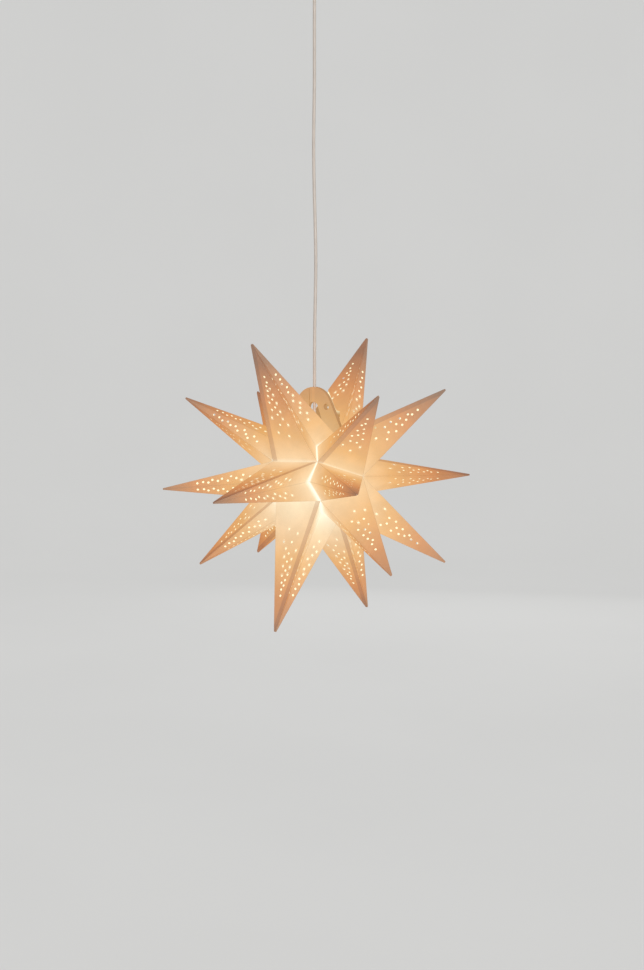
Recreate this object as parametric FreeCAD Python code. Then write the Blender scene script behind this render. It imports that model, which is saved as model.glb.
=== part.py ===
"""Moravian star pendant: an eighteen-pointed folded paper star round an E14 lamp, on a cord from a ceiling fitting.

Millimetres, +Z up. The origin is the middle of the fitting's face on the ceiling, the cord hangs down the Z axis,
and -Y is the front, towards which the flat of the tab faces.
"""

import FreeCAD, Part
import math
import os

Vec = FreeCAD.Vector
UP = Vec(0, 0, 1)
DOWN = Vec(0, 0, -1)
BACK = Vec(0, 1, 0)
ORIGIN = Vec(0, 0, 0)

# Paper star. It has six leaves round its side-to-side X axis. Each leaf has a middle point and a point to each side.
middle_tip_radius = 240.0  # from the X axis to a middle tip
side_tip_radius = 146.5  # from the X axis to a side tip
side_tip_x = 169.0
valley_radius = 58.2  # corners where four points meet
valley_x = 39.3
hub_x = 80.4  # where the six side points of one side meet
kink_radius = 54.4  # bend in the valley between a middle point and a side point
kink_x = 24.2
seam_angle = 72.3  # between the first and the last leaf, at the top
paper_t = 0.4
tip_blunt = 7.0  # length missing from each tip, where the folded paper ends in a small flat
tip_wall = 1.2
hole_r = 1.7
flap_width = 8.0  # glued overlap beside a ridge
flap_t = 0.4
flap_ridge_gap = 1.2
flap_tip_width = 5.0
flap_ends = (0.10, 0.95)  # share of the ridge, from the tip, where an overlap begins and ends
star_lean = 2.7  # degrees that the star leans in the plane of its tab

# Tab of two upright sheets at the seam, with the cord between them.
sheet_gap = 5.7  # clear room between the sheets
sheet_t = 0.4
tab_arc_r = 31.0
tab_arc_z = 97.4  # above the star's centre
tab_shoulder_x = 46.0
tab_shoulder_z = 69.0
keyhole_r = 8.5
keyhole_z = 98.5
keyhole_foot_x = 22.0
tie_hole_r = 4.5
tie_hole_x = 22.8
tie_hole_z = 99.6
slit_w = 1.0
slit_x = -6.0

# Cord
cord_r = 2.3
cord_run_clearance = 0.1
cord_grip_clearance = 0.03
keyhole_drop = 641.0  # from the ceiling to the middle of the keyhole

# E14 lampholder. Its lengths run down from the top of the cap's dome.
seat_gap = 0.3  # between the dome and the valley edges that rest on it
dome_r = 24.0
cap_r = 14.5
cap_wall = 1.6
cap_length = 24.0
nozzle_r = 3.1
nozzle_rise = 7.0
shell_r = 12.6
shell_wall = 1.4
shell_overlap = 6.0  # length of the shell inside the cap
shell_length = 38.0
shell_lip_r = 9.8
shell_lip_t = 1.5
shell_rest_t = 2.0
fuse_depth = 0.2  # how far a ring reaches into the wall it is one piece with
holder_clearance = 0.1
insert_disc_t = 7.0
insert_sink = 1.0  # from the shell's upper edge down to the disc
rest_ring_t = 1.5
insert_skirt_r = 9.4
sleeve_inner_r = 7.05
sleeve_wall = 0.45
sleeve_length = 18.0
sleeve_flange_r = 9.0
clamp_half = (12.0, 5.1, 5.0)
clamp_split = 0.4
clamp_foot = (1.4, 3.0, 4.0)
clamp_screw_r = 1.2
clamp_screw_head_r = 1.9
clamp_screw_head_t = 1.0
clamp_screw_short = 1.0  # from the screw's end to the front half's face
clamp_screw_x = 4.2
cord_end_below_clamp = 0.3
holder_terminal_x = 3.4
holder_terminal_y = -7.9
terminal_screw_r = 1.4
terminal_head_r = 2.3
terminal_head_t = 1.6
terminal_screw_length = 4.5
core_r = 0.8
slot_w = 0.7
core_spread = 1.0
core_gap = 0.05
core_end_drop = 1.2
contact_width = 5.0
contact_t = 0.5
contact_drop = 2.0
contact_gap = 0.1
contact_leg_inset = 1.6  # from the insulator's edge to the leg's outer face
contact_nose = 2.4  # how far the tongue reaches past the middle
thread_clearance = 0.08

# LED globe bulb with an E14 cap. Its lengths run down from the tip of its contact.
bulb_length = 78.0
globe_r = 22.5
glass_t = 0.8
glass_top_drop = 3.0
glass_cap_gap = 0.05
neck_spread = 6.0
bulb_cap_wall = 0.3
bulb_cap_top = 4.0
bulb_cap_length = 16.0
thread_pitch = 2.82
thread_depth = 0.5
thread_run_in = 1.0
bulb_shoulder_h = 1.5
bulb_shoulder_w = 0.8
bulb_insulator_edge = 0.4  # flat edge round the contact button
bulb_button_r = 2.4
bulb_button_t = 1.0
bulb_insulator_r = 5.4
neck_r = 7.2
neck_end = 25.0
filament_r = 0.9
filament_length = 24.0
filament_ring_r = 6.5
filament_count = 4
stem_r = 2.6
stem_length = 30.0
stem_flare_t = 1.5
stem_seal_gap = 0.03
lead_r = 0.35
lead_end_gap = 0.2  # how far a lead stops short of the middle of a filament's end
lead_sink = 0.3  # how far a lead is set in the stem
lead_stem_rise = 1.5
filament_top_share = 0.7  # of the ring's radius, where the filaments begin
filament_hub_r = 1.2
filament_hub_drop = 2.0

# Ceiling fitting
bracket_size = (70.0, 18.0, 2.0)
screw_slot_spacing = 50.0
screw_slot_r = 2.25
screw_slot_length = 9.0
ear_size = (14.0, 2.0, 16.0)
ear_sink = 0.5  # how far the ear reaches into the plate it is one piece with
ear_hole_r = 2.1
ear_hole_drop = 10.0
hanger_size = (20.0, 12.0, 24.0)
hanger_fork_depth = 13.0
hanger_fork_clearance = 0.15
hanger_top_drop = 5.0
hanger_floor = 2.0  # left between the fork and the cord's end
pin_r = 2.05
pin_head_r = 3.4
pin_head_t = 1.2
pin_clearance = 0.05
pin_spare = 1.0  # how far the pin's end stands out of the hanger
core_channel_y = 2.7
core_channel_h = 4.0
hanger_screw_r = 1.5
hanger_screw_head_r = 2.8
hanger_screw_head_t = 2.0
block_size = (12.0, 16.0, 14.0)
block_x = 21.0
block_wire_bore_r = 1.4
block_terminal_y = 4.0
block_screw_sink = 0.5
block_well_clearance = 0.05
block_core_end = 2.0  # from the block's middle to the cores' ends
core_bend_x = 2.2
canopy_r = 46.0
canopy_height = 50.0
canopy_wall = 2.0
canopy_crown_r = 12.0
canopy_ceiling_gap = 0.5
bush_r = 5.0
bush_flange_r = 9.0
bush_flange_t = 3.0
bush_length = 16.0
bush_clearance = 0.1
nut_clearance = 0.05
nut_across = 16.0
nut_t = 4.0
grub_r = 1.2

# How far down a face each hole lies, as a share of its length from the tip, and how far across it, as a share of
# its width there.
WIDE_HOLES = [
    (0.295, 0.44), (0.34, 0.43), (0.37, 0.54), (0.39, 0.39), (0.41, 0.56), (0.44, 0.355), (0.45, 0.63),
    (0.48, 0.49), (0.51, 0.355), (0.505, 0.66), (0.545, 0.49), (0.565, 0.65), (0.58, 0.355), (0.605, 0.50),
    (0.64, 0.375), (0.63, 0.74), (0.69, 0.28), (0.69, 0.54), (0.755, 0.665), (0.785, 0.395),
]
HUB_HOLES = [
    (0.325, 0.545), (0.385, 0.565), (0.415, 0.43), (0.45, 0.60), (0.49, 0.39), (0.50, 0.67), (0.54, 0.50),
    (0.57, 0.315), (0.635, 0.365), (0.57, 0.715), (0.63, 0.575), (0.705, 0.225), (0.67, 0.725), (0.745, 0.505),
]
NARROW_HOLES = [
    (0.33, 0.50), (0.38, 0.44), (0.42, 0.60), (0.46, 0.38), (0.50, 0.57), (0.54, 0.42),
    (0.58, 0.66), (0.62, 0.34), (0.655, 0.55), (0.69, 0.72), (0.72, 0.40), (0.77, 0.58),
]

# Opening beside the tab that lets the lamp in, as (down, across) on the last leaf's inner face, from its left ridge.
LAMP_OPENING = [(0.55, -0.04), (0.76, 0.70), (0.766, 0.81), (0.89, 0.93), (0.955, 0.96), (0.955, -0.02)]
lamp_opening_margin = 5.0  # paper left between a hole's middle and the opening

# Worked out from the sizes above
leaf_count = 6
leaf_pitch = (360.0 - seam_angle) / (leaf_count - 1)
seam_gap = sheet_gap + 2 * sheet_t
lean = math.radians(star_lean)
cut_past = 1.0  # how far a cutting shape reaches past what it cuts
star_middle = Vec(keyhole_z * math.sin(lean), 0, -keyhole_drop - keyhole_z * math.cos(lean))
# Height of the seam's edges where they cross the Z axis.
seat_offset = (keyhole_z - valley_radius) * math.tan(lean)
seat_z = star_middle.z + valley_radius * math.cos(lean) - seat_offset * math.sin(lean)
dome_z = seat_z - seat_gap + (dome_r - math.sqrt(dome_r**2 - (seam_gap / 2) ** 2))
shell_top_z = dome_z - cap_length + shell_overlap
insert_top_z = shell_top_z - insert_sink
insert_low_z = insert_top_z - insert_disc_t
shell_low_z = shell_top_z - shell_length
bulb_tip_z = insert_low_z - contact_drop - contact_t - contact_gap
bulb_cap_r = sleeve_inner_r - thread_clearance
clamp_low_z = insert_top_z + clamp_foot[2]
ear_hole_z = -bracket_size[2] - ear_hole_drop
hanger_top_z = -bracket_size[2] - hanger_top_drop
hanger_low_z = hanger_top_z - hanger_size[2]
cord_top_z = hanger_top_z - hanger_fork_depth - hanger_floor
cord_low_z = clamp_low_z - cord_end_below_clamp
canopy_top_z = -canopy_ceiling_gap
canopy_low_z = canopy_top_z - canopy_height

# Points of the cord's route, as (offset towards the photograph's right, height). It is straight behind the ceiling
# fitting and between the tab's sheets, and waves a little in between.
ROUTE_DIRECTION = Vec(0.813, 0.582, 0)
CORD_ROUTE = [
    (0.0, cord_top_z),
    (0.0, -150.0),
    (-0.9, -214.0),
    (-1.3, -277.0),
    (-0.3, -334.0),
    (1.3, -386.0),
    (2.0, -437.0),
    (1.3, -481.0),
    (0.3, -522.0),
    (0.0, -570.0),
    (0.0, cord_low_z),
]


def cylinder(radius, top, length, direction=DOWN):
    return Part.makeCylinder(radius, length, top, direction)


def ring(outer_r, inner_r, top_z, length):
    body = cylinder(outer_r, Vec(0, 0, top_z), length)
    return body.cut(cylinder(inner_r, Vec(0, 0, top_z + cut_past), length + 2 * cut_past))


def block(size, middle_x, middle_y, top_z):
    corner = Vec(middle_x - size[0] / 2, middle_y - size[1] / 2, top_z - size[2])
    return Part.makeBox(size[0], size[1], size[2], corner)


def lathe(points):
    """Solid turned about Z from (radius, height) points in the XZ plane, joined by straight lines."""
    corners = [Vec(r, 0, z) for r, z in points]
    profile = Part.Face(Part.makePolygon(corners + corners[:1]))
    return profile.revolve(ORIGIN, UP, 360)


def export(node, *shapes):
    shape = shapes[0] if len(shapes) == 1 else Part.makeCompound(list(shapes))
    for solid in shape.Solids:
        if not solid.isValid() or solid.Volume <= 0:
            print("NOT SOUND:", node)
    shape.exportStep("parts/" + node + ".step")


# ---------------------------------------------------------------- paper star


def round_x(radius, x, angle):
    """A point at this distance from the star's X axis. The angle runs from the front up over the top."""
    turn = math.radians(angle)
    return Vec(x, -radius * math.cos(turn), radius * math.sin(turn))


def leaf_angle(leaf):
    return 90.0 - seam_angle / 2 - (leaf - 1) * leaf_pitch


def valley_corner(fold, side):
    """Corner of the valley fold between leaf number fold and the next. Folds 0 and 6 are the seam's two edges."""
    if fold in (0, leaf_count):
        corner = round_x(valley_radius, side * valley_x, 90.0)
        corner.y = -seam_gap / 2 if fold == 0 else seam_gap / 2
        return corner
    return round_x(valley_radius, side * valley_x, leaf_angle(fold) - leaf_pitch / 2)


def kink(leaf, side):
    return round_x(kink_radius, side * kink_x, leaf_angle(leaf))


def on_face(tip, left, right, down, across):
    return tip + (left - tip) * (down * (1 - across)) + (right - tip) * (down * across)


def place_star(shape):
    """Moves a shape from the star's own frame to where the star hangs."""
    turn = FreeCAD.Rotation(Vec(0, 1, 0), -star_lean)
    placed = shape.copy()
    placed.Placement = FreeCAD.Placement(star_middle, turn)
    return placed


def holed_face(corners, centres, normal, radius):
    outline = Part.makePolygon(corners + corners[:1])
    circles = [Part.Wire(Part.Circle(centre, normal, radius).toShape()) for centre in centres]
    if not circles:
        return Part.Face(outline)
    return Part.Face(outline).cut(Part.makeCompound([Part.Face(circle) for circle in circles])).Faces[0]


def paper_point(tip, base, patterns):
    """Hollow paper point from its tip, the corners of its base in order and the pattern of holes of each face.

    Also returns the sharp apex its faces run to, and the shift and the scale that give the inner faces.
    """
    middle = Vec(0, 0, 0)
    for corner in base:
        middle = middle + corner
    middle = middle * (1.0 / len(base))
    axis = (tip - middle).normalize()
    tip = tip + axis * tip_blunt
    pairs = [(base[i], base[(i + 1) % len(base)]) for i in range(len(base))]
    normals = []
    for left, right in pairs:
        normal = (left - tip).cross(right - tip).normalize()
        if normal.dot((left + right) * 0.5 - middle) < 0:
            normal = normal * -1
        normals.append(normal)
    shift = axis * (-paper_t / min(normal.dot(axis) for normal in normals))
    shrink = 1 - shift.Length / (tip - middle).Length

    def inner(point):
        return tip + shift + (point - tip) * shrink

    faces = []
    for (left, right), normal, pattern in zip(pairs, normals, patterns):
        centres = [on_face(tip, left, right, down, across) for down, across in pattern]
        depth = normal * shift.dot(normal)
        low = [centre + depth for centre in centres]
        faces.append(holed_face([tip, left, right], centres, normal, hole_r))
        faces.append(holed_face([tip + shift, inner(left), inner(right)], low, normal, hole_r))
        for centre in centres:
            faces.append(Part.Circle(centre, normal, hole_r).toShape().extrude(depth))
        rim = [left, right, inner(right), inner(left)]
        faces.append(Part.Face(Part.makePolygon(rim + rim[:1])))
    shell = Part.makeShell(faces)
    shell.sewShape()
    solid = Part.makeSolid(shell)
    if solid.Volume < 0:
        solid.reverse()
    return blunt_tip(solid, tip, pairs, axis), tip, shift, shrink


def blunt_tip(solid, apex, pairs, axis):
    """The point with its apex cut off flat and closed by a small wall."""
    low = apex - axis * (tip_blunt + tip_wall)

    def corner(place):
        return apex + (place - apex) * ((tip_blunt + tip_wall) / (apex - place).dot(axis))

    faces = []
    for left, right in pairs:
        for triangle in ([apex, corner(left), corner(right)], [low, corner(left), corner(right)]):
            faces.append(Part.Face(Part.makePolygon(triangle + triangle[:1])))
    shell = Part.makeShell(faces)
    shell.sewShape()
    plug = Part.makeSolid(shell)
    if plug.Volume < 0:
        plug.reverse()
    end = Part.makeCylinder(2 * tip_blunt, 2 * tip_blunt, apex - axis * tip_blunt, axis)
    return solid.fuse(plug).cut(end).removeSplitter()


def glue_flap(tip, ridge, other, shift, shrink):
    """Strip of the next sheet glued inside the face (tip, ridge, other), beside its ridge."""
    start = tip + shift
    along = (ridge - tip) * shrink
    inward = (other - tip).normalize()
    run = along.normalize()
    length = (ridge - tip).Length * shrink
    across = (inward - run * inward.dot(run)).normalize()
    normal = run.cross(across).normalize()
    if normal.dot(shift) < 0:
        normal = normal * -1
    near, far = flap_ends
    corners = [
        start + run * (length * near) + across * flap_ridge_gap,
        start + run * (length * far) + across * flap_ridge_gap,
        start + run * (length * far) + across * flap_width,
        start + run * (length * near) + across * flap_tip_width,
    ]
    return Part.Face(Part.makePolygon(corners + corners[:1])).extrude(normal * flap_t)


def middle_point(leaf):
    tip = round_x(middle_tip_radius, 0, leaf_angle(leaf))
    upper, lower = leaf - 1, leaf
    base = [
        valley_corner(upper, 1),
        kink(leaf, 1),
        valley_corner(lower, 1),
        valley_corner(lower, -1),
        kink(leaf, -1),
        valley_corner(upper, -1),
    ]
    wide_upper = WIDE_HOLES
    if leaf == leaf_count:
        wide_lower = [hole for hole in WIDE_HOLES if clear_of_opening(tip, base[3], base[2], hole)]
        wide_lower = [(down, 1 - across) for down, across in wide_lower]
    else:
        wide_lower = WIDE_HOLES
    patterns = [NARROW_HOLES, NARROW_HOLES, wide_lower, NARROW_HOLES, NARROW_HOLES, wide_upper]
    solid, tip, shift, shrink = paper_point(tip, base, patterns)
    flaps = [glue_flap(tip, base[0], base[5], shift, shrink)]
    if leaf == leaf_count:
        solid = cut_lamp_opening(solid, tip, base[3], base[2])
    else:
        flaps.append(glue_flap(tip, base[3], base[2], shift, shrink))
    return [solid] + flaps


def side_point(leaf, side):
    tip = round_x(side_tip_radius, side * side_tip_x, leaf_angle(leaf))
    base = [
        valley_corner(leaf - 1, side),
        kink(leaf, side),
        valley_corner(leaf, side),
        Vec(side * hub_x, 0, 0),
    ]
    patterns = [NARROW_HOLES, NARROW_HOLES, HUB_HOLES, HUB_HOLES]
    solid, tip, shift, shrink = paper_point(tip, base, patterns)
    ridge = base[2] if side > 0 else base[0]
    return [solid, glue_flap(tip, ridge, base[3], shift, shrink)]


def clear_of_opening(tip, left, right, hole):
    """Whether a hole stays in paper. The opening's edge is taken from its first corner to its fourth."""
    spot = on_face(tip, left, right, hole[0], 1 - hole[1])
    edge = [on_face(tip, left, right, down, across) for down, across in LAMP_OPENING[:4]]
    for start, end in zip(edge, edge[1:]):
        run = (end - start).normalize()
        reach = (spot - start).dot(run)
        if -lamp_opening_margin < reach < (end - start).Length + lamp_opening_margin:
            foot = start + run * reach
            towards_tip = (tip - spot).dot(tip - foot) > 0 and (tip - spot).Length < (tip - foot).Length
            if not towards_tip or (spot - foot).Length < lamp_opening_margin:
                return False
    return True


def cut_lamp_opening(solid, tip, left, right):
    corners = [on_face(tip, left, right, down, across) for down, across in LAMP_OPENING]
    normal = (left - tip).cross(right - tip).normalize()
    face = Part.Face(Part.makePolygon(corners + corners[:1]))
    face.translate(normal * -1.5)
    return solid.cut(face.extrude(normal * 3.0))


def tangent_from(point, centre_z, radius):
    """Where the line from a point (x, z) right of a circle on the middle line touches it, on the outer side."""
    dx, dz = point[0], point[1] - centre_z
    distance = math.hypot(dx, dz)
    turn = math.atan2(dz, dx) + math.acos(radius / distance)
    return (radius * math.cos(turn), centre_z + radius * math.sin(turn))


def arch(foot, shoulder, centre_z, radius, y, thickness):
    """Upright sheet: a round top whose sides spread straight down to the shoulder and then to the foot."""
    touch = tangent_from(shoulder, centre_z, radius)
    right = [Vec(foot[0], y, foot[1])]
    if shoulder != foot:
        right.append(Vec(shoulder[0], y, shoulder[1]))
    right.append(Vec(touch[0], y, touch[1]))
    left = [Vec(-point.x, y, point.z) for point in reversed(right)]
    top = Part.Arc(right[-1], Vec(0, y, centre_z + radius), left[0]).toShape()
    edges = [Part.LineSegment(a, b).toShape() for a, b in zip(right, right[1:])]
    edges.append(top)
    edges += [Part.LineSegment(a, b).toShape() for a, b in zip(left, left[1:])]
    edges.append(Part.LineSegment(left[-1], right[0]).toShape())
    return Part.Face(Part.Wire(edges)).extrude(Vec(0, thickness, 0))


def tab_sheet(y, with_slit):
    foot = (valley_x, valley_radius)
    sheet = arch(foot, (tab_shoulder_x, tab_shoulder_z), tab_arc_z, tab_arc_r, y, sheet_t)
    cut_y, cut_t = y - cut_past, sheet_t + 2 * cut_past
    keyhole_foot = (keyhole_foot_x, valley_radius - cut_past)
    sheet = sheet.cut(arch(keyhole_foot, keyhole_foot, keyhole_z, keyhole_r, cut_y, cut_t))
    for side in (-1, 1):
        hole = cylinder(tie_hole_r, Vec(side * tie_hole_x, cut_y, tie_hole_z), cut_t, BACK)
        sheet = sheet.cut(hole)
    if with_slit:
        height = tab_arc_z + tab_arc_r - keyhole_z
        slit = Part.makeBox(slit_w, cut_t, height, Vec(slit_x - slit_w / 2, cut_y, keyhole_z))
        sheet = sheet.cut(slit)
    return sheet


def build_star():
    for leaf in range(1, leaf_count + 1):
        export(f"point_{leaf}_middle", *[place_star(s) for s in middle_point(leaf)])
        export(f"point_{leaf}_right", *[place_star(s) for s in side_point(leaf, 1)])
        export(f"point_{leaf}_left", *[place_star(s) for s in side_point(leaf, -1)])
    export("tab_front_sheet", place_star(tab_sheet(-seam_gap / 2, True)))
    export("tab_back_sheet", place_star(tab_sheet(seam_gap / 2 - sheet_t, False)))


# ---------------------------------------------------------------- cord


def build_cord():
    points = [ROUTE_DIRECTION * offset + UP * height for offset, height in CORD_ROUTE]
    edges = []
    last = points[0]
    for before, point, after in zip(points, points[1:], points[2:]):
        back = (before - point).normalize()
        onward = (after - point).normalize()
        turn = math.pi - back.getAngle(onward)
        shorter = min((before - point).Length, (after - point).Length)
        reach = 0.45 * shorter
        radius = reach / math.tan(turn / 2)
        bow = radius / math.cos(turn / 2) - radius
        start, end = point + back * reach, point + onward * reach
        middle = point + (back + onward).normalize() * bow
        print("cord arc radius", round(radius))
        edges.append(Part.LineSegment(last, start).toShape())
        edges.append(Part.Arc(start, middle, end).toShape())
        last = end
    edges.append(Part.LineSegment(last, points[-1]).toShape())
    path = Part.Wire(edges)
    section = Part.Wire(Part.Circle(points[0], DOWN, cord_r).toShape())
    tube = path.makePipeShell([section], True, False)
    print("cord volume over section x length", tube.Volume / (math.pi * cord_r**2 * path.Length))
    export("cord", tube)


# ---------------------------------------------------------------- lampholder


def build_holder_cap():
    outer = cylinder(cap_r, Vec(0, 0, dome_z), cap_length)
    dome = Part.makeSphere(dome_r, Vec(0, 0, dome_z - dome_r))
    hollow_r = cap_r - cap_wall
    hollow = cylinder(hollow_r, Vec(0, 0, dome_z), cap_length + cut_past)
    inner_dome = Part.makeSphere(dome_r - cap_wall, Vec(0, 0, dome_z - dome_r))
    long_dome = dome.fuse(cylinder(cap_r, Vec(0, 0, dome_z - dome_r), dome_r))
    long_inner = inner_dome.fuse(cylinder(hollow_r, Vec(0, 0, dome_z - dome_r), dome_r))
    cap = outer.common(long_dome).cut(hollow.common(long_inner))
    nozzle = cylinder(nozzle_r, Vec(0, 0, dome_z + nozzle_rise), nozzle_rise + cap_wall)
    cap = cap.fuse(nozzle)
    bore_top = Vec(0, 0, dome_z + nozzle_rise + cut_past)
    bore = cylinder(cord_r + cord_run_clearance, bore_top, nozzle_rise + 3 * cap_wall)
    export("holder_cap", cap.cut(bore).removeSplitter())


def build_cord_clamp():
    """Two halves on feet, which grip the cord above its end."""
    top = clamp_low_z + clamp_half[2]
    bore = cylinder(cord_r + cord_grip_clearance, Vec(0, 0, top + cut_past), clamp_half[2] + 2 * cut_past)
    back_y = clamp_split / 2 + clamp_half[1] / 2
    screw_z = clamp_low_z + clamp_half[2] / 2
    screw_length = 2 * clamp_half[1] + clamp_split - clamp_screw_short
    screws = []
    holes = []
    for side in (-1, 1):
        start = Vec(side * clamp_screw_x, clamp_split / 2 + clamp_half[1], screw_z)
        shank = cylinder(clamp_screw_r, start, screw_length, Vec(0, -1, 0))
        head = cylinder(clamp_screw_head_r, start, clamp_screw_head_t, BACK)
        holes.append(shank)
        screws.append(shank.fuse(head))
    for name, side in (("back", 1), ("front", -1)):
        half = block(clamp_half, 0, side * back_y, top)
        for foot in (-1, 1):
            foot_x = foot * (clamp_half[0] - clamp_foot[0]) / 2
            foot_y = side * (clamp_split / 2 + clamp_foot[1] / 2)
            half = half.fuse(block(clamp_foot, foot_x, foot_y, clamp_low_z))
        half = half.cut(bore).cut(Part.makeCompound(holes))
        export("cord_clamp_" + name, half.removeSplitter())
    export("cord_clamp_screws", *screws)


def build_holder_insert():
    """Contact carrier with a disc on top, a ring that rests in the shell and a skirt round the thread sleeve."""
    disc_r = shell_r - shell_wall - holder_clearance
    sleeve_r = sleeve_inner_r + sleeve_wall
    under_flange_z = insert_low_z - sleeve_wall
    carrier = cylinder(disc_r, Vec(0, 0, insert_top_z), insert_disc_t)
    carrier = carrier.fuse(ring(disc_r, sleeve_flange_r + holder_clearance, insert_low_z, sleeve_wall + rest_ring_t))
    carrier = carrier.fuse(ring(disc_r, sleeve_r + holder_clearance, under_flange_z, rest_ring_t))
    carrier = carrier.fuse(ring(insert_skirt_r, sleeve_r + holder_clearance, under_flange_z, sleeve_length))
    screws = []
    for side in (-1, 1):
        top = Vec(side * holder_terminal_x, holder_terminal_y, insert_top_z)
        shank = cylinder(terminal_screw_r, top, terminal_screw_length)
        carrier = carrier.cut(shank)
        head = cylinder(terminal_head_r, top + UP * terminal_head_t, terminal_head_t)
        slot_corner = top + Vec(-terminal_head_r, -slot_w / 2, terminal_head_t - slot_w)
        slot = Part.makeBox(2 * terminal_head_r, slot_w, slot_w, slot_corner)
        screws.append(shank.fuse(head).cut(slot))
    export("contact_carrier", carrier.removeSplitter())
    export("carrier_terminal_screws", *screws)


def build_thread_sleeve():
    outer_r = sleeve_inner_r + sleeve_wall
    sleeve = ring(outer_r, sleeve_inner_r, insert_low_z - sleeve_wall, sleeve_length - sleeve_wall)
    flange = ring(sleeve_flange_r, bulb_insulator_r, insert_low_z, sleeve_wall)
    export("thread_sleeve", sleeve.fuse(flange).removeSplitter())


def build_centre_contact():
    """Brass strip that comes down from the carrier and bends under it, over the bulb's contact."""
    leg_x = bulb_insulator_r - contact_leg_inset
    length = leg_x + contact_nose
    leg = block((contact_t, contact_width, contact_drop + contact_t), contact_t / 2 - leg_x, 0, insert_low_z)
    tongue = block((length, contact_width, contact_t), length / 2 - leg_x, 0, insert_low_z - contact_drop)
    export("centre_contact", leg.fuse(tongue).removeSplitter())


def build_holder_shell():
    wall = ring(shell_r, shell_r - shell_wall, shell_top_z, shell_length)
    ring_r = shell_r - shell_wall + fuse_depth
    lip = ring(ring_r, shell_lip_r, shell_low_z + shell_lip_t, shell_lip_t)
    rest_z = insert_low_z - sleeve_wall - rest_ring_t
    rest = ring(ring_r, insert_skirt_r + holder_clearance, rest_z, shell_rest_t)
    export("holder_shell", wall.fuse(lip).fuse(rest).removeSplitter())


def build_holder_cores():
    """The cord's two cores, from its end under the clamp to the terminals."""
    cores = []
    for side in (-1, 1):
        start = Vec(side * core_spread, 0, cord_low_z - core_end_drop)
        end_y = holder_terminal_y + terminal_head_r + core_r + core_gap
        end = Vec(side * holder_terminal_x, end_y, insert_top_z + core_r + core_gap)
        cores.append(Part.makeCylinder(core_r, (end - start).Length, start, end - start))
    export("holder_cores", *cores)


# ---------------------------------------------------------------- bulb


def build_bulb_cap():
    top = bulb_tip_z - bulb_cap_top
    low = top - bulb_cap_length
    root_r = bulb_cap_r - thread_depth
    inner_r = root_r - bulb_cap_wall
    turns = int((bulb_cap_length - 2 * thread_run_in) / thread_pitch)
    outline = [(inner_r, low), (inner_r, top), (root_r, top)]
    for turn in range(turns):
        z = top - thread_run_in - turn * thread_pitch
        outline += [(root_r, z), (bulb_cap_r, z - thread_pitch / 2)]
    outline += [(root_r, top - thread_run_in - turns * thread_pitch), (root_r, low)]
    shoulder = lathe([
        (inner_r, top),
        (root_r, top),
        (bulb_insulator_r, top + bulb_shoulder_h),
        (bulb_insulator_r - bulb_shoulder_w, top + bulb_shoulder_h),
    ])
    export("bulb_cap", lathe(outline).fuse(shoulder).removeSplitter())


def build_bulb_end():
    """The insulator above the cap and the contact button on it."""
    top = bulb_tip_z - bulb_button_t
    low = bulb_tip_z - bulb_cap_top + bulb_shoulder_h
    top_r = bulb_button_r + bulb_insulator_edge
    export("bulb_insulator", lathe([(0, top), (top_r, top), (bulb_insulator_r, low), (0, low)]))
    export("bulb_contact", cylinder(bulb_button_r, Vec(0, 0, bulb_tip_z), bulb_button_t))


def glass_neck_r():
    return bulb_cap_r - thread_depth - bulb_cap_wall - glass_cap_gap


def globe_profile(offset):
    """Half outline of the glass from its neck to its lowest point, drawn in by offset."""
    neck_z = bulb_tip_z - bulb_cap_top - glass_top_drop
    centre_z = bulb_tip_z - bulb_length + globe_r
    inside_cap_r = glass_neck_r() - offset
    cap_low = bulb_tip_z - bulb_cap_top - bulb_cap_length - glass_cap_gap
    neck_low = bulb_tip_z - neck_end
    radius = globe_r - offset
    meet_r = neck_r + neck_spread - offset
    meet_z = centre_z + math.sqrt(radius**2 - meet_r**2)
    corners = [Vec(inside_cap_r, 0, neck_z), Vec(inside_cap_r, 0, cap_low), Vec(neck_r - offset, 0, neck_low)]
    edges = [Part.LineSegment(a, b).toShape() for a, b in zip(corners, corners[1:])]
    edges.append(Part.LineSegment(corners[-1], Vec(meet_r, 0, meet_z)).toShape())
    side = Vec(radius, 0, centre_z)
    foot = Vec(0, 0, centre_z - radius)
    half = Vec(radius * math.sin(0.8), 0, centre_z - radius * math.cos(0.8))
    high_turn = (math.asin(meet_r / radius) + math.pi / 2) / 2
    high = Vec(radius * math.sin(high_turn), 0, centre_z + radius * math.cos(high_turn))
    edges.append(Part.Arc(Vec(meet_r, 0, meet_z), high, side).toShape())
    edges.append(Part.Arc(side, half, foot).toShape())
    axis_top = Vec(0, 0, neck_z)
    edges.append(Part.LineSegment(foot, axis_top).toShape())
    edges.append(Part.LineSegment(axis_top, corners[0]).toShape())
    return Part.Face(Part.Wire(edges)).revolve(ORIGIN, UP, 360)


def build_bulb_glass():
    outer = globe_profile(0.0)
    inner = globe_profile(glass_t)
    export("bulb_glass", outer.cut(inner).removeSplitter())


def build_stem():
    """Glass stem that flares out to the neck at its top."""
    top = bulb_tip_z - bulb_cap_top - glass_top_drop
    flare_r = glass_neck_r() - glass_t - stem_seal_gap
    export("bulb_stem", lathe([
        (0, top),
        (flare_r, top),
        (flare_r, top - stem_flare_t),
        (stem_r, top - 4 * stem_flare_t),
        (stem_r, top - stem_length),
        (0, top - stem_length),
    ]))


def rod(radius, start, end, short=0.0):
    return Part.makeCylinder(radius, (end - start).Length - short, start, end - start)


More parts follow.
